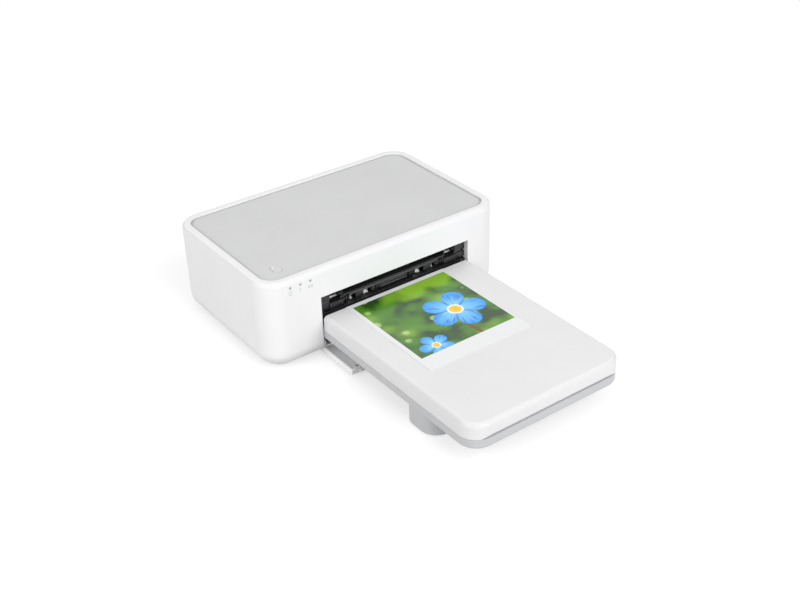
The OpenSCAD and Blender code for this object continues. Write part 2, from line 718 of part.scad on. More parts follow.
// A guide rib: an upright plate with a rounded nose that leads the sheet out
module guide_rib(x) {
    nose = 2.4;
    along_x(x, [guide_y, guide_low]) linear_extrude(1.1) {
        translate([nose, 0]) square([guide_d - nose, guide_top - guide_low]);
        translate([0.4, nose]) square([nose, guide_top - guide_low - nose]);
        translate([nose + 0.4, nose]) circle(nose);
    }
}

module guide_side() {
    // Plain panel between the two roller windows
    translate([inner_panel[0], guide_y + 0.6, guide_low])
        cube([inner_panel[1] - inner_panel[0], guide_wall, guide_top - guide_low]);
    // Shelf with its open recess above
    translate([shelf_panel[0], guide_y, guide_low]) cube([shelf_w, guide_wall, 4.2]);
    translate([shelf_panel[0], guide_y, hood_low]) cube([shelf_w, guide_d, 1.2]);
    // Plain end panel beside the return wall, set back for the rim of the closed door
    translate([end_panel[0], guide_y + 0.8, guide_low])
        cube([end_panel[1] - end_panel[0], 1.8, hood_top - guide_low]);
    for (x = [shelf_panel[0], end_panel[0]]) translate([x, guide_y + 0.8, hood_low])
        cube([1.2, guide_d - 0.8, hood_top - hood_low]);
    for (x = rib_sets, i = [0:2]) guide_rib(x + i * 1.9);
}

// Ears reach from the mouth's sides to the side plates, behind the return walls
ear_t = 1.6;
ear_w = jamb_t + plate_gap + gap + ear_t - 0.1;
ear_xs = [left_plate_x + plate_t + 0.1, right_plate_x - 0.1 - ear_w];

module exit_guide() color([0.09, 0.09, 0.1]) from_face() difference() {
    union() {
        translate([mouth_x - shelf_panel[0], guide_y, guide_top - guide_bar])
            cube([2 * shelf_panel[0], guide_d, guide_bar]);
        // Hood that closes the mouth behind the rollers
        translate([mouth_l + gap, guide_y + guide_d - 1.2, guide_low + 4])
            cube([mouth_w - 2 * gap, 1.2, hood_top - guide_low - 4]);
        for (s = [0, 1]) translate([mouth_x, 0, 0]) mirror([s, 0, 0]) guide_side();
        // Louvred panel in the middle, its slats one above the other
        translate([mouth_x - louvre_half, guide_y + 2.6, guide_low])
            cube([2 * louvre_half, 1.6, guide_top - guide_low]);
        for (i = [0:3]) along_x(mouth_x - louvre_half, [guide_y + 2.2, guide_low + (i + 0.5) * slat_pitch])
            cylinder(h = 2 * louvre_half, r = slat_r);
        // Ears that screw to the side plates
        for (x = [mouth_l + gap, mouth_r - gap - ear_t]) translate([x, guide_y + 1, hood_low])
            cube([ear_t, jamb_d + 5, hood_top - hood_low]);
        for (x = ear_xs) translate([x, jamb_d + 0.6, hood_low]) cube([ear_w, 5.4, hood_top - hood_low]);
    }
    along_x(mouth_l - 6, exit_c) cylinder(h = mouth_w + 12, r = shaft_r + 0.7);
    bush_pockets([exit_c]);
    for (s = [-1, 1], w = roller_spots) along_x(spot_x(s, w) - 0.4, exit_c)
        cylinder(h = w[1] - w[0] + 0.8, r = exit_r + 0.5);
    along_x(mouth_l - 6, rod_c) cylinder(h = mouth_w + 12, r = rod_r + run_gap);
}

module guide_rod() color("silver") from_face() {
    along_x(mouth_x - inner_panel[1] - 6, rod_c) cylinder(h = 2 * inner_panel[1] + 12, r = rod_r);
}

// Table under the leaving sheet, with windows for the idle and pick-up rollers
lower_top = exit_path - 1;
lower_low = tray_z + tray_inner_h + 1;
lower_d = 22;

module lower_guide() color([0.09, 0.09, 0.1]) from_face() difference() {
    union() {
        translate([mouth_l + gap, guide_y, lower_low]) cube([mouth_w - 2 * gap, 1.6, lower_top - lower_low]);
        translate([mouth_l + gap, guide_y, lower_top - 1.6]) cube([mouth_w - 2 * gap, lower_d, 1.6]);
        for (x = ear_xs) translate([x, jamb_d + 0.6, lower_low]) cube([ear_w, 12.4, lower_top - lower_low]);
        for (i = [-5:5]) translate([mouth_x + i * 10.6 - 0.6, guide_y, lower_top - 2])
            cube([1.2, lower_d, 2.5]);
    }
    along_x(mouth_l - 6, idle_c) cylinder(h = mouth_w + 12, r = shaft_r + 0.5);
    for (s = [-1, 1], w = roller_spots)
        translate([spot_x(s, w) - 0.5, idle_c[0] - idle_r - 0.5, lower_low])
        cube([w[1] - w[0] + 1, 2 * idle_r + 1, 20]);
    translate([mouth_x - 13, pickup_c[0] - pickup_r - 0.6, lower_low - 1]) cube([26, 2 * pickup_r + 1.2, 20]);
    along_x(mouth_l - 6, pickup_c) cylinder(h = mouth_w + 12, r = shaft_r + 0.6);
    bush_pockets([idle_c, pickup_c]);
}

// Pockets round the inner ends of the bushes
module bush_pockets(centres) {
    for (c = centres, x = [left_plate_x, right_plate_x - bush_over - 0.2])
        along_x(x, c) cylinder(h = plate_t + bush_over + 0.2, r = bush_r + 0.2);
}

// Rollers of a length list, on one shaft between the side plates
module roller_set(c, r, spots, x0, x1) {
    along_x(x0, c) cylinder(h = x1 - x0, r = shaft_r);
    for (s = [-1, 1], w = spots) along_x(spot_x(s, w), c)
        cylinder(h = w[1] - w[0], r = r);
}

shaft_l = left_plate_x - bush_over - 0.4;
shaft_rt = right_plate_x + plate_t + bush_over + 0.4;

module exit_roller() color("white") from_face()
    roller_set(exit_c, exit_r, roller_spots, gear_x - 0.6, shaft_rt);

module exit_idlers() color("white") from_face() roller_set(idle_c, idle_r, roller_spots, shaft_l, shaft_rt);

module pickup_roller() color("dimgray") from_face() {
    along_x(shaft_l, pickup_c) cylinder(h = shaft_rt - shaft_l, r = shaft_r);
    for (s = [-1, 1]) along_x(mouth_x + s * 7 - 4.5, pickup_c) cylinder(h = 9, r = pickup_r);
}

// ---------- side plates and shafts ----------

plate_y0 = jamb_d * 0.4;
plate_y1 = motor_c[0] + 18;
plate_top = ledge_z - 1.2;

// Centres that are carried on both plates: idle and driven exit, pick-up, platen, feed and pinch shafts
bush_centres = [exit_c, idle_c, pickup_c, platen_c, feed_c, pinch_c, head_pivot];

module plate_profile(x) {
    along_x(x, [0, 0]) linear_extrude(plate_t) difference() {
        union() {
            translate([plate_y0 + 22, floor_top])
                square([plate_y1 - plate_y0 - 22, plate_top - floor_top - 14]);
            translate([plate_y0, tray_z + 8]) square([40, hood_top - tray_z - 8]);
            translate([50, floor_top + 10]) square([56, plate_top - floor_top - 10]);
        }
        translate([plate_y1 - 8, floor_top + 20]) circle(5);
        translate([44, floor_top + 9]) circle(4);
    }
}

module bush_holes(x) {
    for (c = bush_centres) along_x(x - 1, c) cylinder(h = plate_t + 2, r = bush_r + 0.02);
}

module plate_foot(x) {
    translate([x, plate_y0 + 26, floor_top]) cube([9, 60, plate_t]);
}

cart_left = left_plate_x + plate_t + 4;
cart_right = body_w / 2 - wall - 5;

module left_side_plate() color("silver") from_face() difference() {
    union() {
        plate_profile(left_plate_x);
        plate_foot(left_plate_x);
        // Ears that carry the spindles of the ribbon spools
        for (c = [takeup_c, supply_c]) along_x(left_plate_x, c) cylinder(h = plate_t, r = 8);
    }
    bush_holes(left_plate_x);
    for (c = [takeup_c, supply_c]) along_x(left_plate_x - 1, c) cylinder(h = plate_t + 2, r = bush_r + 0.02);
    along_x(left_plate_x - 1, motor_c) cylinder(h = plate_t + 2, r = 4.1);
}

module right_side_plate() color("silver") from_face() difference() {
    union() {
        plate_profile(right_plate_x);
        translate([right_plate_x + plate_t - 9, 0, 0]) plate_foot(0);
    }
    bush_holes(right_plate_x);
    // Way in for the ribbon cartridge
    along_x(right_plate_x - 1, [0, 0]) linear_extrude(plate_t + 2) cartridge_outline(0.8);
}

// Outline of the cartridge: two round cases and the bridge between them
module cartridge_outline(grow) {
    translate(takeup_c) circle(takeup_case_r + grow);
    translate(supply_c) circle(supply_case_r + grow);
    translate([takeup_c[0], bridge_z - grow]) square([supply_c[0] - takeup_c[0], bridge_h + 2 * grow]);
}

bridge_z = path_z + 9;
bridge_h = 9.4;

module shaft_bushes() color([0.15, 0.15, 0.16]) from_face() {
    for (c = concat(bush_centres, [takeup_c, supply_c])) along_x(left_plate_x - bush_over, c) bush();
    for (c = bush_centres) along_x(right_plate_x + plate_t + bush_over, c) mirror([0, 0, 1]) bush();
}

// A bush with its flange at z = 0, outside the plate
module bush() {
    difference() {
        union() {
            cylinder(h = plate_t + 2 * bush_over, r = bush_r);
            cylinder(h = bush_over, r = bush_flange_r);
        }
        translate([0, 0, -1]) cylinder(h = plate_t + 2 * bush_over + 2, r = shaft_r + run_gap);
    }
}

module platen_roller() color("dimgray") from_face() {
    along_x(shaft_l, platen_c) cylinder(h = shaft_rt - shaft_l, r = shaft_r);
    along_x(mouth_x - 53, platen_c) cylinder(h = 106, r = platen_r);
}

module feed_roller() color("silver") from_face() {
    along_x(gear_x - 0.6, feed_c) cylinder(h = shaft_rt - gear_x + 0.6, r = shaft_r);
    along_x(mouth_x - 53, feed_c) cylinder(h = 106, r = feed_r);
}

module pinch_roller() color("dimgray") from_face() {
    along_x(shaft_l, pinch_c) cylinder(h = shaft_rt - shaft_l, r = shaft_r);
    along_x(mouth_x - 50, pinch_c) cylinder(h = 100, r = pinch_r);
}

// ---------- thermal head ----------

head_half = 50;
head_low = path_z + 0.3;
arm_z = head_pivot[1] - 0.8;

module head_arm() color("silver") from_face() {
    x0 = left_plate_x + plate_t + bush_over + 0.3;
    x1 = right_plate_x - bush_over - 0.3;
    translate([x0, platen_c[0] - 5, arm_z + 1.9]) cube([x1 - x0, head_pivot[0] - platen_c[0] + 5, 1.4]);
    for (x = [x0, x1 - 1.4]) {
        along_x(x, head_pivot) cylinder(h = 1.4, r = 3);
        translate([x, head_pivot[0] - 6, arm_z]) cube([1.4, 6, 3]);
    }
    for (x = [x0 - plate_t - 2 * bush_over - 0.3, x1 - 0.4])
        along_x(x, head_pivot) cylinder(h = plate_t + 2 * bush_over + 0.7, r = shaft_r);
    for (s = [-1, 1]) translate([mouth_x + s * 30 - 4, platen_c[0] - 4, arm_z - 0.3]) cube([8, 8, 2.4]);
}

module thermal_head() color([0.2, 0.2, 0.22]) from_face() {
    translate([mouth_x - head_half, platen_c[0] - 2.5, head_low + 0.6]) cube([2 * head_half, 5, 4.6]);
    along_x(mouth_x - head_half + 2, [platen_c[0], head_low + 0.9]) cylinder(h = 2 * head_half - 4, r = 0.9);
}

module head_heatsink() color("gray") from_face() {
    low = head_low + 5.2;
    translate([mouth_x - head_half, platen_c[0] - 4, low]) cube([2 * head_half, 8, 3]);
    for (i = [0:4]) translate([mouth_x - head_half, platen_c[0] - 4 + i * 1.7, low + 2])
        cube([2 * head_half, 1.1, arm_z - 0.3 - low - 2]);
}

// ---------- rear paper guide ----------

module rear_guide() color([0.09, 0.09, 0.1]) from_face() {
    x0 = left_plate_x + plate_t + 0.1;
    x1 = right_plate_x - 0.1;
    y0 = feed_c[0] + feed_r + 1.4;
    y1 = body_d - wall - 3.5;
    translate([x0, y0, path_z - 3.2]) cube([x1 - x0, y1 - y0, 1.6]);
    for (i = [-5:5]) translate([mouth_x + i * 10.4 - 0.6, y0, path_z - 2]) cube([1.2, y1 - y0, 1.5]);
}

// ---------- gear train on the left side plate ----------

gear_hub = 3.4;

module gear(n, phase, c, bore, hub) {
    along_x(gear_x, c) difference() {
        union() {
            linear_extrude(gear_w) gear_outline(n, phase);
            translate([0, 0, gear_w - 0.2]) cylinder(h = 1, r = hub);
        }
        translate([0, 0, -1]) cylinder(h = gear_w + 3, r = bore);
        // Thinned web with round lightening holes on the larger wheels
        if (n > 20) for (z = [-0.01, gear_w - 1.2]) translate([0, 0, z]) difference() {
            cylinder(h = 1.21, r = pitch_r(n) - 2.4);
            translate([0, 0, -1]) cylinder(h = 4, r = hub);
        }
        if (n > 28) for (a = [0:60:300]) rotate(a) translate([(pitch_r(n) - 2.4 + hub) / 2, 0, -1])
            cylinder(h = gear_w + 2, r = (pitch_r(n) - 2.4 - hub) / 2 - 1);
    }
}

module feed_gear() color("ivory") from_face() gear(feed_n, 0, feed_c, shaft_r, gear_hub);
module exit_gear() color("ivory") from_face() gear(exit_n, exit_phase, exit_c, shaft_r, gear_hub);
module long_idler_gear() color("ivory") from_face()
    gear(long_n, long_phase, long_c, shaft_r + run_gap, gear_hub);
module front_idler_gear() color("ivory") from_face()
    gear(front_n, front_phase, front_c, shaft_r + run_gap, gear_hub);
module motor_idler_gear() color("ivory") from_face()
    gear(motor_idler_n, motor_idler_phase, motor_idler_c, shaft_r + run_gap, gear_hub);

module idler_studs() color("silver") from_face() {
    for (c = [long_c, front_c, motor_idler_c]) along_x(gear_x - 0.6, c) {
        cylinder(h = left_plate_x - gear_x + 0.6, r = shaft_r);
        translate([0, 0, -0.8]) cylinder(h = 1.1, r = shaft_r + 1);
        translate([0, 0, left_plate_x - gear_x - 0.4]) cylinder(h = 1, r = shaft_r + 1.6);
    }
}

motor_r = 11;
motor_l = 17;
motor_x = left_plate_x + plate_t;
motor_lug = motor_r + 2.5;

module motor_pinion() color("goldenrod") from_face() {
    along_x(gear_x, motor_c) linear_extrude(gear_w) gear_outline(pinion_n, pinion_phase);
    along_x(gear_x + gear_w - 0.5, motor_c) cylinder(h = motor_x - gear_x - gear_w + 2.4, r = shaft_r);
}

module step_motor() color("silver") from_face() difference() {
    union() {
        along_x(motor_x, motor_c) cylinder(h = motor_l, r = motor_r);
        along_x(motor_x - 1.2, motor_c) cylinder(h = 2, r = 4);
        for (s = [-1, 1]) along_x(motor_x, motor_c + [s * motor_lug, 0]) cylinder(h = 0.8, r = 3.2);
        translate([motor_x, motor_c[0] - motor_lug, motor_c[1] - 3.2]) cube([0.8, 2 * motor_lug, 6.4]);
        // Plug for the motor's wires
        translate([motor_x + 5, motor_c[0] - motor_r - 2, motor_c[1] - 5]) cube([8, 4, 10]);
    }
    along_x(motor_x - 2, motor_c) cylinder(h = 5, r = shaft_r + run_gap);
    for (s = [-1, 1]) along_x(left_plate_x, motor_c + [s * motor_lug, 0]) cylinder(h = 5, r = 1.4);
}

// ---------- ribbon ----------

case_t = 1.2;
spool_core_r = 4;
spool_pin_r = 2;
spool_l = 100;
spool_x = mouth_x - spool_l / 2;

module takeup_gear() color("ivory") from_face() {
    gear(takeup_n, takeup_phase, takeup_c, shaft_r - 0.4, gear_hub);
    spindle(takeup_c, gear_x + 0.5);
}

// Spindle from x0 through the left plate, with the cross that drives a spool
module spindle(c, x0) {
    along_x(x0, c) cylinder(h = cart_left + 2.4 - x0, r = shaft_r);
    for (a = [0, 90]) translate([cart_left - 1.4, 0, 0]) along_x(0, c) rotate(a)
        translate([-2.6, -0.5, 0]) cube([5.2, 1, 4]);
}

module supply_hub() color("ivory") from_face() {
    along_x(left_plate_x - bush_over - 2.4, supply_c) cylinder(h = 2.2, r = 6);
    spindle(supply_c, left_plate_x - bush_over - 1);
}

// Spool with its wound film; the socket at its left end takes the driving cross
module spool(c, wound_r) {
    difference() {
        union() {
            along_x(cart_left, c) cylinder(h = cart_right - cart_left - case_t - 0.4, r = spool_core_r);
            along_x(cart_left, c) cylinder(h = cart_right - cart_left, r = spool_pin_r);
            along_x(spool_x, c) cylinder(h = spool_l, r = wound_r);
            for (x = [spool_x - 1.4, spool_x + spool_l]) along_x(x, c) cylinder(h = 1.4, r = wound_r + 1);
        }
        along_x(cart_left - 1, c) cylinder(h = 9, r = spool_core_r - 1);
    }
}

takeup_wound = 5;
supply_wound = 7.4;

module takeup_spool() color("dimgray") from_face() spool(takeup_c, takeup_wound);
module supply_spool() color("dimgray") from_face() spool(supply_c, supply_wound);

film_t = 0.2;
film_half = 48;
film_turns = [[platen_c[0] - 8.2, path_z + 8.2], [platen_c[0] + 8.2, path_z + 8.2]];
film_low = [[platen_c[0] - 5.5, path_z + 0.05], [platen_c[0] + 5.5, path_z + 0.05]];

// Where the line from p touches a circle of radius r round c; s picks the side
function touch(c, r, p, s) =
    let (a = bearing(c, p) + s * acos(r / norm(p - c)))
    c + r * [cos(a), sin(a)];

film_path = [touch(takeup_c, takeup_wound + 0.5, film_turns[0], 1), film_turns[0], film_low[0], film_low[1],
    film_turns[1], touch(supply_c, supply_wound + 0.5, film_turns[1], 1)];

// Normal of a path at point i, long enough to keep the band's thickness at a bend
function path_normal(p, i) =
    let (a = p[max(i, 1) - 1], b = p[max(i, 1)], c = p[min(i, len(p) - 2)], d = p[min(i, len(p) - 2) + 1],
        n1 = [a[1] - b[1], b[0] - a[0]] / norm(b - a), n2 = [c[1] - d[1], d[0] - c[0]] / norm(d - c),
        m = n1 + n2)
    m / (m * n1);

module ribbon_film() color("darkslateblue", 0.8) from_face() {
    last = len(film_path) - 1;
    along_x(mouth_x - film_half, [0, 0]) linear_extrude(2 * film_half) polygon(concat(film_path,
        [for (k = [last:-1:0]) film_path[k] + film_t * path_normal(film_path, k)]));
}

// Case of one spool: a tube with a slot towards the head
module spool_case(c, r, slot_from, slot_to) {
    difference() {
        along_x(cart_left + case_t, c) cylinder(h = cart_right - cart_left - 2 * case_t, r = r);
        along_x(cart_left + case_t - 1, c) cylinder(h = cart_right - cart_left, r = r - case_t);
        translate([mouth_x - film_half - 2, 0, 0]) along_x(0, c) linear_extrude(2 * film_half + 4)
            polygon([[0, 0], 2 * r * [cos(slot_from), sin(slot_from)], 2 * r * [cos(slot_to), sin(slot_to)]]);
    }
}

module ribbon_cartridge() color([0.35, 0.37, 0.4]) from_face() {
    difference() {
        union() {
            for (x = [cart_left, cart_right - case_t])
                along_x(x, [0, 0]) linear_extrude(case_t) cartridge_outline(0);
            spool_case(takeup_c, takeup_case_r, -75, 10);
            spool_case(supply_c, supply_case_r, 170, 255);
            // Grip at the right-hand end
            translate([cart_right, (takeup_c[0] + supply_c[0]) / 2 - 12, bridge_z + 2]) cube([2.4, 24, 1.6]);
        }
        for (c = [takeup_c, supply_c]) {
            along_x(cart_left - 1, c) cylinder(h = case_t + 2, r = spool_core_r + run_gap);
            along_x(cart_right - case_t - 1, c) cylinder(h = case_t + 2, r = spool_pin_r + run_gap);
        }
    }
}

// ---------- electronics ----------

board_xs = [mouth_x - 30, mouth_x + 50];
board_ys = [38, 82];
board_z = floor_top + 3.6;
board_t = 1.6;

module circuit_board() color("darkgreen") from_face() difference() {
    translate([board_xs[0] - 5, board_ys[0] - 5, board_z])
        cube([board_xs[1] - board_xs[0] + 10, board_ys[1] - board_ys[0] + 10, board_t]);
    for (x = board_xs, y = board_ys) translate([x, y, board_z - 1]) cylinder(h = 4, r = 1.4);
}

module board_parts() color([0.12, 0.12, 0.13]) from_face() {
    top = board_z + board_t;
    for (i = [0:2]) translate([board_xs[0] + 4 + i * 12, board_ys[1] - 8, top]) cylinder(h = 9, r = 4);
    translate([mouth_x - 6, 50, top]) cube([18, 18, 1.8]);
    translate([mouth_x + 22, 52, top]) cube([14, 10, 1.6]);
    translate([mouth_x - 26, 46, top]) cube([6, 22, 5]);
    translate([mouth_x + 40, 60, top]) cube([8, 14, 5.5]);
}

module power_inlet() color([0.1, 0.1, 0.1]) from_face() {
    y0 = body_d - wall - 10;
    difference() {
        union() {
            translate([inlet_x - 5.5, y0, inlet_z - 5.5]) cube([11, 10 - 0.05, 11]);
            translate([inlet_x, y0, inlet_z]) rotate([-90, 0, 0])
                cylinder(h = 10 + wall - 0.3, r = inlet_r + 1.1);
        }
        translate([inlet_x, y0 + 2, inlet_z]) rotate([-90, 0, 0]) cylinder(h = 20, r = inlet_r);
    }
    translate([inlet_x, y0 + 1, inlet_z]) rotate([-90, 0, 0]) cylinder(h = 9, r = 1.2);
}

outer_shell();
top_panel();
base_plate();
rubber_feet();
base_screws();
front_door();
ribbon_door();
power_button();
button_switch();
indicator_lights();
light_board();
paper_tray();
tray_foot();
tray_pads();
lift_plate();
lift_springs();
tray_lid();
print_sheet();
exit_guide();
guide_rod();
lower_guide();
exit_roller();
exit_idlers();
pickup_roller();
left_side_plate();
right_side_plate();
shaft_bushes();
platen_roller();
feed_roller();
pinch_roller();
head_arm();
thermal_head();
head_heatsink();
rear_guide();
feed_gear();
long_idler_gear();
front_idler_gear();
exit_gear();
motor_idler_gear();
motor_pinion();
idler_studs();
step_motor();
takeup_gear();
takeup_spool();
supply_spool();
supply_hub();
ribbon_cartridge();
ribbon_film();
circuit_board();
board_parts();
power_inlet();
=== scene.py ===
import bmesh
import bpy
import json
import math
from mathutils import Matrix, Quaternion, Vector


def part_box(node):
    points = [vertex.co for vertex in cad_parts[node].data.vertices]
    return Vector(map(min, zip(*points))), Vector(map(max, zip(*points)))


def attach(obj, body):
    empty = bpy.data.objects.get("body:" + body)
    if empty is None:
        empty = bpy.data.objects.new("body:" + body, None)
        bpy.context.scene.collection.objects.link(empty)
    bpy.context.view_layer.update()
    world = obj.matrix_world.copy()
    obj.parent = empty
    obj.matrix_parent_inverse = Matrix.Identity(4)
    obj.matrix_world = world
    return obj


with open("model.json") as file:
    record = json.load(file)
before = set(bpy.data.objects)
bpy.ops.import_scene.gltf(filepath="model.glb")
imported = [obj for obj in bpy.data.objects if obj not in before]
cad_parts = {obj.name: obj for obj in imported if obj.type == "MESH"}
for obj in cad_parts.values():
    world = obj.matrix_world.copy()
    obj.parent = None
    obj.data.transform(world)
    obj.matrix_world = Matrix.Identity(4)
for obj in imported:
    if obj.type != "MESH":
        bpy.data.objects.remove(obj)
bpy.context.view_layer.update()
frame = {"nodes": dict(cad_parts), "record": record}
nodes = frame["nodes"]
slotOf = {part["node"]: part["material_slot"] for part in frame["record"]["subparts"]}
scene = bpy.context.scene
mm = 0.001


# camera
cameraLook = {
    "place": (-0.39539, -0.55301, 0.45122),
    "azimuth": -35.30,
    "elevation": 31.66,
    "roll": -1.838,
    "lens": 53.19,
    "sensor": 36.0,
}


def makeCamera(look):
    data = bpy.data.cameras.new("camera")
    data.sensor_fit = "HORIZONTAL"
    data.sensor_width = look["sensor"]
    data.lens = look["lens"]
    data.clip_end = 50
    turn, lift = math.radians(look["azimuth"]), math.radians(look["elevation"])
    ahead = Vector((-math.sin(turn) * math.cos(lift), math.cos(turn) * math.cos(lift), -math.sin(lift)))
    camera = bpy.data.objects.new("camera", data)
    camera.location = look["place"]
    camera.rotation_mode = "QUATERNION"
    roll = Quaternion((0, 0, 1), math.radians(look["roll"]))
    camera.rotation_quaternion = ahead.to_track_quat("-Z", "Y") @ roll
    scene.collection.objects.link(camera)
    scene.camera = camera


makeCamera(cameraLook)
print("camera placed")


# node helpers
def put(tree, kind, inputs=None, **settings):
    node = tree.nodes.new(kind)
    for name, value in settings.items():
        setattr(node, name, value)
    for key, value in (inputs or {}).items():
        feed(tree, node.inputs[key], value)
    return node


def feed(tree, socket, value):
    if isinstance(value, bpy.types.NodeSocket):
        tree.links.new(value, socket)
    elif socket.type == "RGBA" and len(value) == 3:
        socket.default_value = (*value, 1)
    else:
        socket.default_value = value


def calc(tree, operation, *values):
    node = put(tree, "ShaderNodeMath", operation=operation)
    for socket, value in zip(node.inputs, values):
        feed(tree, socket, value)
    return node.outputs[0]


def calcVector(tree, operation, *values, output="Vector"):
    node = put(tree, "ShaderNodeVectorMath", operation=operation)
    for socket, value in zip(node.inputs, values):
        feed(tree, socket, value)
    return node.outputs[output]


def objectPlace(tree):
    return put(tree, "ShaderNodeTexCoord").outputs["Object"]


def moved(tree, place, **settings):
    inputs = {"Vector": place, **{name.capitalize(): value for name, value in settings.items()}}
    return put(tree, "ShaderNodeMapping", inputs).outputs[0]


def tinted(colour, factor):
    return [c * factor for c in colour]


def blend(tree, amount, low, high):
    node = put(tree, "ShaderNodeMix", data_type="RGBA")
    feed(tree, node.inputs[0], amount)
    feed(tree, node.inputs[6], low)
    feed(tree, node.inputs[7], high)
    return node.outputs[2]


def span(tree, value, low, high, toLow=0.0, toHigh=1.0, smooth=False):
    kind = "SMOOTHSTEP" if smooth else "LINEAR"
    inputs = {"Value": value, "From Min": low, "From Max": high, "To Min": toLow, "To Max": toHigh}
    return put(tree, "ShaderNodeMapRange", inputs, interpolation_type=kind).outputs[0]


def noise(tree, place, size, detail=2.0, rough=0.5):
    inputs = {"Vector": place, "Scale": 1 / size, "Detail": detail, "Roughness": rough}
    return put(tree, "ShaderNodeTexNoise", inputs).outputs[0]


def newMaterial(name):
    material = bpy.data.materials.new(name)
    material.use_nodes = True
    tree = material.node_tree
    return material, tree, tree.nodes["Principled BSDF"]


# floor, backdrop and lamps
studioLook = {
    "floorColour": (0.45, 0.45, 0.45),
    "floorMottle": 0.4,
    "floorGlow": 0.57,
    "farGlow": 0.45,
    "farFrom": 0.8,
    "farTo": 3.0,
    "floorSize": 12.0,
    "skyStrength": 0.67,
    "lamps": {
        "front": {"place": (0.30, -1.70, 1.10), "size": 1.6, "power": 34.0},
        "left": {"place": (-1.80, -0.20, 0.90), "size": 1.4, "power": 20.9},
    },
}


def makeFloor(look):
    half = look["floorSize"] / 2
    mesh = bpy.data.meshes.new("floor")
    corners = [(-half, -half, 0), (half, -half, 0), (half, half, 0), (-half, half, 0)]
    mesh.from_pydata(corners, [], [(0, 1, 2, 3)])
    floor = bpy.data.objects.new("floor", mesh)
    scene.collection.objects.link(floor)
    material, tree, shader = newMaterial("floorCard")
    place = objectPlace(tree)
    patch = noise(tree, place, look["floorMottle"], 3)
    shade = blend(tree, patch, tinted(look["floorColour"], 0.985), look["floorColour"])
    feed(tree, shader.inputs["Base Color"], shade)
    shader.inputs["Roughness"].default_value = 0.9
    shader.inputs["Specular IOR Level"].default_value = 0.1
    shader.inputs["Emission Color"].default_value = (1, 1, 1, 1)
    path = put(tree, "ShaderNodeLightPath")
    seen = calc(tree, "MAXIMUM", path.outputs["Is Camera Ray"], path.outputs["Is Glossy Ray"])
    # the lamps don't reach the far floor, so it glows more there
    away = calcVector(tree, "LENGTH", place, output="Value")
    far = look["floorGlow"] + look["farGlow"]
    glow = span(tree, away, look["farFrom"], look["farTo"], look["floorGlow"], far, smooth=True)
    feed(tree, shader.inputs["Emission Strength"], calc(tree, "MULTIPLY", seen, glow))
    mesh.materials.append(material)


def makeSky(look):
    world = bpy.data.worlds.new("studio")
    scene.world = world
    world.use_nodes = True
    tree = world.node_tree
    path = put(tree, "ShaderNodeLightPath")
    seen = calc(tree, "MAXIMUM", path.outputs["Is Camera Ray"], path.outputs["Is Glossy Ray"])
    seen = calc(tree, "MAXIMUM", seen, path.outputs["Is Transmission Ray"])
    sky = tree.nodes["Background"]
    sky.inputs["Color"].default_value = (1, 1, 1, 1)
    feed(tree, sky.inputs["Strength"], span(tree, seen, 0, 1, look["skyStrength"], 1))


def makeLamps(look):
    for name, lamp in look["lamps"].items():
        data = bpy.data.lights.new(name, "AREA")
        data.size = lamp["size"]
        data.energy = lamp["power"]
        holder = bpy.data.objects.new(name, data)
        holder.location = lamp["place"]
        aim = Vector((0, 0, 0.03)) - holder.location
        holder.rotation_euler = aim.to_track_quat("-Z", "Y").to_euler()
        scene.collection.objects.link(holder)


makeFloor(studioLook)
makeSky(studioLook)
makeLamps(studioLook)
scene.view_settings.view_transform = "Standard"
print("floor, sky and lamps set")


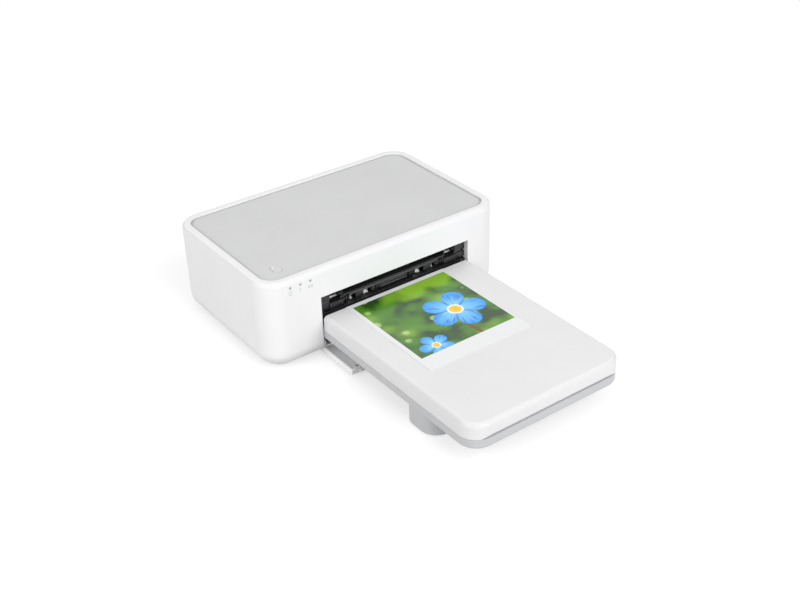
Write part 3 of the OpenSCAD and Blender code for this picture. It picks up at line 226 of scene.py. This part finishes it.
# moulded plastics, rubber and metals
# sizes in millimetres: cloud is the broad mottle, grain the moulded texture, soften the edge radius
# slope is the tone of upper roundings and border a darker outline: both stand in for studio shading
finishes = {
    "shell_white": {"colour": (0.725, 0.723, 0.731), "shade": (0.705, 0.704, 0.712), "cloud": 60,
                    "grain": 0.35, "depth": 0.004, "rough": (0.42, 0.52), "soften": 0.35, "slope": 0.86},
    "lid_white": {"colour": (0.655, 0.651, 0.658), "shade": (0.633, 0.631, 0.638), "cloud": 50,
                  "grain": 0.35, "depth": 0.005, "rough": (0.34, 0.46), "soften": 0.35, "slope": 0.87},
    "top_grey": {"colour": (0.546, 0.548, 0.55), "shade": (0.527, 0.529, 0.531), "cloud": 45, "grain": 0.5,
                 "depth": 0.02, "rough": (0.50, 0.62), "soften": 0.3,
                 "border": {"piece": "top_panel", "radius": 11, "width": 2.6, "tone": 0.7}},
    "base_grey": {"colour": (0.68, 0.68, 0.688), "shade": (0.655, 0.655, 0.663), "cloud": 40, "grain": 0.5,
                  "depth": 0.02, "rough": (0.48, 0.60), "soften": 0.3},
    # painted light: the door is the housing's white plastic made lighter, standing in for the light it lacks
    # under the tray
    "door_white_painted_light": {"colour": (0.85, 0.85, 0.86), "shade": (0.82, 0.82, 0.83), "cloud": 40, "grain": 0.4,
                   "depth": 0.01, "rough": (0.42, 0.54), "soften": 0.3},
    "button_grey": {"colour": (0.56, 0.562, 0.565), "shade": (0.54, 0.542, 0.545), "cloud": 8, "grain": 0.3,
                    "depth": 0.006, "rough": (0.34, 0.44), "soften": 0.3},
    "tray_grey": {"colour": (0.465, 0.469, 0.48), "shade": (0.445, 0.449, 0.46), "cloud": 35, "grain": 0.4,
                  "depth": 0.012, "rough": (0.38, 0.50), "soften": 0.3},
    "lift_plastic": {"colour": (0.60, 0.61, 0.63), "shade": (0.57, 0.58, 0.60), "cloud": 30, "grain": 0.4,
                     "depth": 0.012, "rough": (0.40, 0.52), "soften": 0.2},
    "guide_black": {"colour": (0.013, 0.013, 0.0145), "shade": (0.018, 0.018, 0.0195), "cloud": 25,
                    "grain": 0.5, "depth": 0.008, "rough": (0.2, 0.32), "soften": 0.3},
    "bush_black": {"colour": (0.04, 0.04, 0.044), "shade": (0.055, 0.055, 0.06), "cloud": 12, "grain": 0.4,
                   "depth": 0.012, "rough": (0.40, 0.55), "soften": 0.15},
    "roller_white": {"colour": (0.80, 0.80, 0.79), "shade": (0.76, 0.76, 0.745), "cloud": 10, "grain": 0.3,
                     "depth": 0.008, "rough": (0.35, 0.5), "soften": 0.15},
    "gear_ivory": {"colour": (0.84, 0.81, 0.72), "shade": (0.80, 0.765, 0.67), "cloud": 10, "grain": 0.3,
                   "depth": 0.008, "rough": (0.32, 0.46), "soften": 0.12, "waxy": 0.15},
    "spool_grey": {"colour": (0.29, 0.30, 0.32), "shade": (0.26, 0.27, 0.29), "cloud": 14, "grain": 0.3,
                   "depth": 0.01, "rough": (0.36, 0.5), "soften": 0.15},
    "cartridge_grey": {"colour": (0.33, 0.35, 0.38), "shade": (0.30, 0.32, 0.35), "cloud": 25, "grain": 0.4,
                       "depth": 0.014, "rough": (0.40, 0.54), "soften": 0.2},
    "chip_black": {"colour": (0.05, 0.05, 0.055), "shade": (0.07, 0.07, 0.075), "cloud": 8, "grain": 0.25,
                   "depth": 0.01, "rough": (0.42, 0.56), "soften": 0.1},
    "foot_rubber": {"colour": (0.23, 0.23, 0.24), "shade": (0.19, 0.19, 0.20), "cloud": 6, "grain": 0.4,
                    "depth": 0.03, "rough": (0.72, 0.88), "soften": 0.25},
    "roller_rubber": {"colour": (0.11, 0.11, 0.12), "shade": (0.085, 0.085, 0.095), "cloud": 8, "grain": 0.3,
                      "depth": 0.03, "rough": (0.65, 0.82), "soften": 0.2},
    "rod_dark": {"colour": (0.030, 0.030, 0.033), "shade": (0.045, 0.045, 0.048), "cloud": 12, "grain": 0.3,
                 "depth": 0.004, "rough": (0.24, 0.36), "soften": 0.15},
    "lamp_clear": {"colour": (0.38, 0.39, 0.41), "shade": (0.32, 0.33, 0.35), "cloud": 2, "grain": 0.2,
                   "depth": 0.002, "rough": (0.10, 0.18), "soften": 0.15},
}

# edgeLift brightens softened edges; the pairs are the bends and slopes between which a mask runs, the slopes
# placing painted shade
surfaceAndPaintedShadeLook = {
    "edgeLift": 1.05,
    "brightest": 0.9,
    "edgeBend": (0.995, 0.85),
    "slopeRise": (0.12, 0.40),
    "slopeFall": (0.98, 0.82),
    "handled": 18,
    "waxDepth": 1.5,
}


def addSurface(tree, shader, place, look):
    # fine moulded texture over edges that are softened by a small radius
    grain = noise(tree, place, look["grain"] * mm, 2.5, 0.6)
    rounded = put(tree, "ShaderNodeBevel", {"Radius": look["soften"] * mm}, samples=6).outputs[0]
    inputs = {"Strength": 1.0, "Distance": look["depth"] * mm, "Height": grain, "Normal": rounded}
    feed(tree, shader.inputs["Normal"], put(tree, "ShaderNodeBump", inputs).outputs[0])
    return grain, rounded


def edgeMask(tree, rounded):
    # 1 on softened edges, 0 on flats
    flat = put(tree, "ShaderNodeNewGeometry").outputs["Normal"]
    bend = calcVector(tree, "DOT_PRODUCT", flat, rounded, output="Value")
    return span(tree, bend, *surfaceAndPaintedShadeLook["edgeBend"], smooth=True)


def paintedSlopeShadeMask(tree):
    # 1 where a rounding turns from upright to level, 0 on walls and tops: there painted shade darkens the
    # upper roundings
    normal = put(tree, "ShaderNodeTexCoord").outputs["Normal"]
    up = put(tree, "ShaderNodeSeparateXYZ", {0: normal}).outputs["Z"]
    rise = span(tree, up, *surfaceAndPaintedShadeLook["slopeRise"], smooth=True)
    return calc(tree, "MULTIPLY", rise, span(tree, up, *surfaceAndPaintedShadeLook["slopeFall"], smooth=True))


def paintedBorderShadowMask(tree, place, border):
    # 1 at the outline of a rounded panel, 0 further in: a painted shadow band where the rim shades the panel
    low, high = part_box(border["piece"])
    centre, half, radius = (low + high) / 2, (high - low) / 2, border["radius"] * mm
    # taking a whole metre off z leaves it out of the distance
    inner = (half.x - radius, half.y - radius, 1)
    quarter = calcVector(tree, "ABSOLUTE", calcVector(tree, "SUBTRACT", place, centre))
    past = calcVector(tree, "MAXIMUM", calcVector(tree, "SUBTRACT", quarter, inner), (0, 0, 0))
    away = calcVector(tree, "LENGTH", past, output="Value")
    return span(tree, away, radius - border["width"] * mm, radius, smooth=True)


def makePlastic(name, look):
    material, tree, shader = newMaterial(name)
    place = objectPlace(tree)
    cloud = span(tree, noise(tree, place, look["cloud"] * mm, 4, 0.55), 0.35, 0.65)
    grain, rounded = addSurface(tree, shader, place, look)
    colour = blend(tree, cloud, look["shade"], look["colour"])
    edge = [min(c, surfaceAndPaintedShadeLook["brightest"]) for c in tinted(look["colour"], surfaceAndPaintedShadeLook["edgeLift"])]
    colour = blend(tree, edgeMask(tree, rounded), colour, edge)
    # painted shade: upper roundings take the darker slope tone in place of the shading the studio light
    # gives them
    if "slope" in look:
        colour = blend(tree, paintedSlopeShadeMask(tree), colour, tinted(look["colour"], look["slope"]))
    # painted shadow: the top panel darkens towards its outline, in place of the shade next to the rim
    if "border" in look:
        border = look["border"]
        colour = blend(tree, paintedBorderShadowMask(tree, place, border), colour, tinted(look["colour"], border["tone"]))
    feed(tree, shader.inputs["Base Color"], colour)
    handled = noise(tree, place, surfaceAndPaintedShadeLook["handled"] * mm, 3, 0.6)
    patch = calc(tree, "MULTIPLY_ADD", grain, 0.4, calc(tree, "MULTIPLY", handled, 0.6))
    feed(tree, shader.inputs["Roughness"], span(tree, patch, 0.35, 0.65, *look["rough"]))
    if "waxy" in look:
        shader.inputs["Subsurface Weight"].default_value = look["waxy"]
        shader.inputs["Subsurface Scale"].default_value = surfaceAndPaintedShadeLook["waxDepth"] * mm
    return material


metals = {
    "steel": {"colour": (0.66, 0.66, 0.68), "shade": (0.58, 0.58, 0.60), "streak": (0.2, 6, 6), "grain": 0.3,
              "depth": 0.006, "rough": (0.24, 0.42), "soften": 0.12},
    "heatsink_aluminium": {"colour": (0.62, 0.62, 0.64), "shade": (0.54, 0.54, 0.57), "streak": (8, 0.3, 8),
                           "grain": 0.3, "depth": 0.01, "rough": (0.32, 0.5), "soften": 0.15},
    "brass_pinion": {"colour": (0.74, 0.58, 0.29), "shade": (0.62, 0.47, 0.22), "streak": (6, 0.3, 0.3),
                     "grain": 0.2, "depth": 0.006, "rough": (0.2, 0.36), "soften": 0.1},
}


def makeMetal(name, look):
    material, tree, shader = newMaterial(name)
    place = objectPlace(tree)
    stretched = moved(tree, place, scale=look["streak"])
    streak = noise(tree, stretched, 1.2 * mm, 3, 0.6)
    grain, rounded = addSurface(tree, shader, stretched, look)
    stain = span(tree, noise(tree, place, 12 * mm, 4, 0.6), 0.4, 0.7)
    colour = blend(tree, span(tree, streak, 0.3, 0.7), look["shade"], look["colour"])
    colour = blend(tree, calc(tree, "MULTIPLY", stain, 0.25), colour, tinted(look["shade"], 0.75))
    feed(tree, shader.inputs["Base Color"], colour)
    feed(tree, shader.inputs["Roughness"], span(tree, streak, 0.3, 0.7, *look["rough"]))
    shader.inputs["Metallic"].default_value = 1.0
    return material


# circuit board and ribbon
boardLook = {
    "lacquer": (0.018, 0.15, 0.06),
    "trace": (0.03, 0.24, 0.10),
    "pad": (0.72, 0.60, 0.32),
    "pitch": 2.54,
    "traceGap": 1.9,
}


def makeBoard(name, look):
    material, tree, shader = newMaterial(name)
    place = objectPlace(tree)
    inputs = {"Vector": place, "Scale": 1 / (look["traceGap"] * mm), "Randomness": 0.35}
    cells = put(tree, "ShaderNodeTexVoronoi", inputs, feature="DISTANCE_TO_EDGE").outputs["Distance"]
    trace = span(tree, cells, 0.10, 0.07, smooth=True)
    inputs = {"Vector": place, "Scale": 1 / (look["pitch"] * mm), "Randomness": 0.0}
    dots = put(tree, "ShaderNodeTexVoronoi", inputs, feature="F1").outputs["Distance"]
    picked = span(tree, noise(tree, place, 9 * mm, 1), 0.55, 0.58)
    pad = calc(tree, "MULTIPLY", span(tree, dots, 0.24, 0.20, smooth=True), picked)
    colour = blend(tree, trace, look["lacquer"], look["trace"])
    colour = blend(tree, pad, colour, look["pad"])
    feed(tree, shader.inputs["Base Color"], colour)
    feed(tree, shader.inputs["Metallic"], calc(tree, "MULTIPLY", pad, 0.9))
    feed(tree, shader.inputs["Roughness"], span(tree, noise(tree, place, 3 * mm), 0.3, 0.7, 0.22, 0.34))
    inputs = {"Strength": 1.0, "Distance": 0.03 * mm, "Height": calc(tree, "ADD", trace, pad)}
    feed(tree, shader.inputs["Normal"], put(tree, "ShaderNodeBump", inputs).outputs[0])
    return material


ribbonLook = {
    "dyes": ((0.50, 0.42, 0.03), (0.42, 0.03, 0.14), (0.02, 0.16, 0.34)),
    "base": (0.03, 0.03, 0.05),
    "panel": 22.0,
}


def makeRibbon(name, look):
    material, tree, shader = newMaterial(name)
    place = objectPlace(tree)
    along = put(tree, "ShaderNodeSeparateXYZ", {"Vector": place}).outputs["Y"]
    turns = calc(tree, "PINGPONG", calc(tree, "DIVIDE", along, look["panel"] * mm), 3.0)
    colour = blend(tree, span(tree, turns, 0.98, 1.02), look["dyes"][0], look["dyes"][1])
    colour = blend(tree, span(tree, turns, 1.98, 2.02), colour, look["dyes"][2])
    crease = noise(tree, moved(tree, place, scale=(1, 0.15, 1)), 3 * mm, 3)
    colour = blend(tree, span(tree, crease, 0.3, 0.7, 0.15, 0.45), colour, look["base"])
    feed(tree, shader.inputs["Base Color"], colour)
    feed(tree, shader.inputs["Roughness"], span(tree, crease, 0.3, 0.7, 0.12, 0.26))
    inputs = {"Strength": 1.0, "Distance": 0.06 * mm, "Height": crease}
    feed(tree, shader.inputs["Normal"], put(tree, "ShaderNodeBump", inputs).outputs[0])
    return material


# the printed picture: blue flowers over blurred leaves
# sizes in millimetres; a flower is its centre's x and y, its size and its turn in degrees
printLook = {
    "left": 3.4,
    "right": 1.8,
    "rear": 3.7,
    "front": 13.4,
    "greens": ((0.012, 0.05, 0.004), (0.06, 0.20, 0.008), (0.22, 0.42, 0.03)),
    "glints": (0.50, 0.72, 0.25),
    "petals": ((0.004, 0.07, 0.50), (0.01, 0.30, 0.80), (0.22, 0.62, 0.92)),
    "heart": ((0.90, 0.42, 0.01), (0.98, 0.72, 0.04)),
    "ring": (0.86, 0.90, 0.92),
    "dots": (0.02, 0.012, 0.03),
    "stem": (0.16, 0.05, 0.02),
    "paper": (0.685, 0.69, 0.695),
    "leafSize": 16,
    "driftSize": 26,
    "glintGap": 13,
    "seedsPerMm": 0.9,
    "flowers": ((56, 46, 22, 12), (20, 20, 12, 40)),
}


def cells(tree, place, scale):
    inputs = {"Vector": place, "Scale": scale}
    return put(tree, "ShaderNodeTexVoronoi", inputs, feature="F1").outputs["Distance"]


def makePicture(name, look, low, high):
    material, tree, shader = newMaterial(name)
    # millimetres from the sheet's near left corner
    coord = objectPlace(tree)
    shift = [-low[0] / mm, -low[1] / mm, 0]
    place = calcVector(tree, "ADD", moved(tree, coord, scale=(1 / mm, 1 / mm, 1 / mm)), shift)
    axes = put(tree, "ShaderNodeSeparateXYZ", {"Vector": place})
    x, y = axes.outputs["X"], axes.outputs["Y"]
    width, length = (high[0] - low[0]) / mm, (high[1] - low[1]) / mm

    def inside(value, first, last, soft):
        return calc(tree, "MULTIPLY", span(tree, value, first - soft, first + soft),
                    span(tree, value, last + soft, last - soft))

    picture = calc(tree, "MULTIPLY", inside(x, look["left"], width - look["right"], 0.05),
                   inside(y, look["front"], length - look["rear"], 0.05))

    # blurred leaves
    leaf = noise(tree, place, look["leafSize"], 1.5, 0.4)
    drift = noise(tree, moved(tree, place, location=(40, 13, 5)), look["driftSize"], 1)
    colour = blend(tree, span(tree, leaf, 0.34, 0.62, smooth=True), look["greens"][0], look["greens"][1])
    colour = blend(tree, span(tree, drift, 0.5, 0.72, smooth=True), colour, look["greens"][2])
    spots = cells(tree, place, 1 / look["glintGap"])
    chosen = span(tree, noise(tree, place, 19, 0), 0.52, 0.60, smooth=True)
    glint = calc(tree, "MULTIPLY", span(tree, spots, 0.30, 0.16, 0, 0.6, smooth=True), chosen)
    colour = blend(tree, glint, colour, look["glints"])

    # one stem for each flower, then the flower over it
    for centreX, centreY, size, turn in look["flowers"]:
        bend = calc(tree, "MULTIPLY", calc(tree, "SINE", calc(tree, "MULTIPLY", y, 0.05)), 5.0)
        line = calc(tree, "ABSOLUTE", calc(tree, "SUBTRACT", calc(tree, "ADD", x, bend), centreX))
        stalk = calc(tree, "MULTIPLY", span(tree, line, 1.6, 0.9, smooth=True),
                     span(tree, y, centreY, centreY - 1))
        colour = blend(tree, stalk, colour, look["stem"])
        dx, dy = calc(tree, "SUBTRACT", x, centreX), calc(tree, "SUBTRACT", y, centreY)
        squares = calc(tree, "ADD", calc(tree, "MULTIPLY", dx, dx), calc(tree, "MULTIPLY", dy, dy))
        away = calc(tree, "SQRT", squares)
        angle = calc(tree, "ADD", calc(tree, "ARCTAN2", dy, dx), math.radians(turn))
        lobe = calc(tree, "ABSOLUTE", calc(tree, "COSINE", calc(tree, "MULTIPLY", angle, 2.5)))
        lobe = calc(tree, "POWER", lobe, 0.45)
        edge = calc(tree, "MULTIPLY", calc(tree, "MULTIPLY_ADD", lobe, 0.62, 0.38), size)
        reach = calc(tree, "DIVIDE", away, edge)
        petal = span(tree, reach, 1.02, 0.98, smooth=True)
        veinPlace = put(tree, "ShaderNodeCombineXYZ", {"X": calc(tree, "MULTIPLY", angle, 9.0),
                                                       "Y": calc(tree, "MULTIPLY", away, 0.10)}).outputs[0]
        vein = noise(tree, veinPlace, 1.0, 3, 0.6)
        blue = blend(tree, span(tree, reach, 0.25, 1.0), look["petals"][2], look["petals"][1])
        blue = blend(tree, span(tree, vein, 0.45, 0.70, 0, 0.75, smooth=True), blue, look["petals"][0])
        fold = span(tree, lobe, 0.55, 0.15, 0, 0.8, smooth=True)
        blue = blend(tree, fold, blue, look["petals"][0])
        colour = blend(tree, petal, colour, blue)
        ring = span(tree, away, size * 0.27, size * 0.24, smooth=True)
        colour = blend(tree, ring, colour, look["ring"])
        seeds = cells(tree, place, look["seedsPerMm"])
        heart = blend(tree, span(tree, seeds, 0.25, 0.5), look["heart"][1], look["heart"][0])
        colour = blend(tree, span(tree, away, size * 0.21, size * 0.19, smooth=True), colour, heart)
        band = calc(tree, "MULTIPLY", span(tree, away, size * 0.24, size * 0.22),
                    span(tree, away, size * 0.12, size * 0.15))
        dots = calc(tree, "MULTIPLY", span(tree, seeds, 0.22, 0.14, smooth=True), band)
        colour = blend(tree, dots, colour, look["dots"])

    fibre = noise(tree, place, 0.25, 2)
    paper = blend(tree, span(tree, fibre, 0.3, 0.7), tinted(look["paper"], 0.985), look["paper"])
    # the picture is on the sheet's upper face only
    height = put(tree, "ShaderNodeSeparateXYZ", {"Vector": coord}).outputs["Z"]
    top = span(tree, height, high[2] - 0.15 * mm, high[2] - 0.1 * mm)
    feed(tree, shader.inputs["Base Color"], blend(tree, calc(tree, "MULTIPLY", picture, top), paper, colour))
    feed(tree, shader.inputs["Roughness"], span(tree, fibre, 0.3, 0.7, 0.20, 0.28))
    shader.inputs["Coat Weight"].default_value = 0.35
    shader.inputs["Coat Roughness"].default_value = 0.12
    inputs = {"Strength": 1.0, "Distance": 0.006 * mm, "Height": fibre}
    feed(tree, shader.inputs["Normal"], put(tree, "ShaderNodeBump", inputs).outputs[0])
    return material


materials = {name: makePlastic(name + "_look", look) for name, look in finishes.items()}
materials.update({name: makeMetal(name + "_look", look) for name, look in metals.items()})
materials["board_green"] = makeBoard("board_green_look", boardLook)
materials["film_dark"] = makeRibbon("film_dark_look", ribbonLook)
materials["print_paper"] = makePicture("print_paper_look", printLook, *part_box("print_sheet"))
# the front door takes the lightened housing white, painted light for its shaded place
looks = {**slotOf, "guide_rod": "rod_dark", "front_door": "door_white_painted_light"}
for name, part in nodes.items():
    part.material_slots[0].material = materials[looks[name]]
print(f"materials: {len(materials)} finishes on {len(nodes)} parts")


# printed marks under the lamps and the dot on the button, whose near-white colour is painted light for its
# lit lamp
markLook = {
    "ink": (0.52, 0.52, 0.54),
    "line": 0.34,
    "film": 0.03,
    "below": 4.0,
    "sheet": (2.0, 2.8),
    "arrow": (1.9, 2.6),
    "ribbon": (3.4, 1.9),
    "dotRadius": 0.62,
    "dotHeight": 0.12,
    "dotPlace": (-1.15, 1.9),
    "dotPaintedGlowColour": (0.95, 0.955, 0.96),
}


def makeInk(name, colour, rough):
    material, tree, shader = newMaterial(name)
    patch = noise(tree, objectPlace(tree), 0.4 * mm, 3, 0.6)
    shade = blend(tree, span(tree, patch, 0.3, 0.7), tinted(colour, 0.94), colour)
    feed(tree, shader.inputs["Base Color"], shade)
    feed(tree, shader.inputs["Roughness"], span(tree, patch, 0.3, 0.7, rough, rough + 0.1))
    return material


def addBox(mesh, low, high):
    # a closed box between two corners, in metres
    made = bmesh.ops.create_cube(mesh, size=1)
    middle, size = (low + high) / 2, high - low
    for vertex in made["verts"]:
        vertex.co = Vector(c * s for c, s in zip(vertex.co, size)) + middle


def finishPiece(name, mesh, material, body):
    bmesh.ops.recalc_face_normals(mesh, faces=mesh.faces)
    data = bpy.data.meshes.new(name)
    mesh.to_mesh(data)
    mesh.free()
    data.materials.append(material)
    piece = bpy.data.objects.new(name, data)
    scene.collection.objects.link(piece)
    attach(piece, body)
    return piece


def outlineBars(width, height, line):
    # four bars round a rectangle centred on zero
    w, h = width / 2, height / 2
    return [(-w, -h, w, line - h), (-w, h - line, w, h), (-w, -h, line - w, h), (w - line, -h, w, h)]


def makeMarks(look):
    lampLow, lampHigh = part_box("indicator_lights")
    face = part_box("outer_shell")[0].y
    edge = (lampHigh.z - lampLow.z) / 2
    z = (lampLow.z + lampHigh.z) / 2 - look["below"] * mm
    line = look["line"]
    width, height = look["arrow"]
    arrow = [(-line / 2, -height / 2, line / 2, height / 2),
             (-width / 2, height / 2 - line, width / 2, height / 2),
             (-line, -height / 2, line, line - height / 2)]
    width, height = look["ribbon"]
    reels = [(s * width / 4 - line, -line, s * width / 4 + line, line) for s in (-1, 1)]
    signs = {
        "sheet_mark": outlineBars(*look["sheet"], line),
        "feed_mark": arrow,
        "ribbon_mark": outlineBars(width, height, line) + reels,
    }
    ink = makeInk("mark_ink", look["ink"], 0.4)
    steps = (lampLow.x + edge, (lampLow.x + lampHigh.x) / 2, lampHigh.x - edge)
    for x, (name, bars) in zip(steps, signs.items()):
        mesh = bmesh.new()
        for x0, z0, x1, z1 in bars:
            addBox(mesh, Vector((x + x0 * mm, face - look["film"] * mm, z + z0 * mm)),
                   Vector((x + x1 * mm, face + look["film"] * mm, z + z1 * mm)))
        finishPiece(name, mesh, ink, "housing")


def makeButtonDot(look):
    low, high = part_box("power_button")
    centre = (low + high) / 2
    mesh = bmesh.new()
    bmesh.ops.create_cone(mesh, cap_ends=True, segments=32, radius1=look["dotRadius"] * mm,
                          radius2=look["dotRadius"] * 0.7 * mm, depth=look["dotHeight"] * mm)
    x, y = look["dotPlace"]
    bmesh.ops.translate(mesh, verts=mesh.verts, vec=(centre.x + x * mm, centre.y + y * mm, high.z))
    # painted light: the dot's near-white colour stands in for its lamp being lit
    lens = makeInk("dot_lens_painted_glow", look["dotPaintedGlowColour"], 0.15)
    finishPiece("button_dot", mesh, lens, "power_button")


makeMarks(markLook)
makeButtonDot(markLook)
print("marks and button dot made")


# rows of solder legs round the chips on the circuit board
legLook = {
    "pitch": 1.5,
    "leg": (0.5, 1.3, 0.5),
    "chips": ((29, 17, 18, 18), (57, 19, 14, 10)),
    "tin": (0.72, 0.72, 0.74),
}


def makeRowTree():
    # a row of equal blocks: Count of them, from Start, one Step apart, each of Size
    tree = bpy.data.node_groups.new("leg_row", "GeometryNodeTree")
    tree.interface.new_socket("Geometry", in_out="OUTPUT", socket_type="NodeSocketGeometry")
    kinds = {"Count": "NodeSocketInt", "Start": "NodeSocketVector", "Step": "NodeSocketVector",
             "Size": "NodeSocketVector", "Material": "NodeSocketMaterial"}
    sockets = {name: tree.interface.new_socket(name, in_out="INPUT", socket_type=kind).identifier
               for name, kind in kinds.items()}
    given = tree.nodes.new("NodeGroupInput").outputs
    row = put(tree, "GeometryNodeMeshLine", {"Count": given["Count"], "Start Location": given["Start"],
                                             "Offset": given["Step"]}, mode="OFFSET")
    block = put(tree, "GeometryNodeMeshCube", {"Size": given["Size"]})
    copies = put(tree, "GeometryNodeInstanceOnPoints", {"Points": row.outputs["Mesh"],
                                                        "Instance": block.outputs["Mesh"]})
    whole = put(tree, "GeometryNodeRealizeInstances", {0: copies.outputs[0]})
    inputs = {"Geometry": whole.outputs[0], "Material": given["Material"]}
    painted = put(tree, "GeometryNodeSetMaterial", inputs)
    tree.links.new(painted.outputs[0], tree.nodes.new("NodeGroupOutput").inputs[0])
    return tree, sockets


def bakeRow(tree, sockets, values):
    holder = bpy.data.objects.new("row", bpy.data.meshes.new("row"))
    scene.collection.objects.link(holder)
    modifier = holder.modifiers.new("row", "NODES")
    modifier.node_group = tree
    for name, value in values.items():
        modifier[sockets[name]] = value
    shape = holder.evaluated_get(bpy.context.evaluated_depsgraph_get())
    baked = bpy.data.meshes.new_from_object(shape)
    bpy.data.objects.remove(holder)
    return baked


def makeLegs(look):
    low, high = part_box("circuit_board")
    tree, sockets = makeRowTree()
    tin = makeMetal("leg_tin", {**metals["steel"], "colour": look["tin"]})
    wide, long, tall = look["leg"]
    legs = bmesh.new()
    for x, y, width, depth in look["chips"]:
        for side in (-1, 1):
            for across in (False, True):
                run, reach = (depth, width) if across else (width, depth)
                count = int(run / look["pitch"]) - 1
                first = (run - (count - 1) * look["pitch"]) / 2
                out = reach / 2 + side * (reach / 2 + long / 2 - 0.2)
                start, step, size = [x + first, y + out], [look["pitch"], 0], [wide, long]
                if across:
                    start, step, size = [x + out, y + first], [0, look["pitch"]], [long, wide]
                baked = bakeRow(tree, sockets, {
                    "Count": count,
                    "Start": (low.x + start[0] * mm, low.y + start[1] * mm, high.z + tall * mm / 2),
                    "Step": (step[0] * mm, step[1] * mm, 0),
                    "Size": (size[0] * mm, size[1] * mm, tall * mm),
                    "Material": tin,
                })
                legs.from_mesh(baked)
    finishPiece("chip_legs", legs, tin, "housing")


makeLegs(legLook)
print("chip legs made")


print("finished")
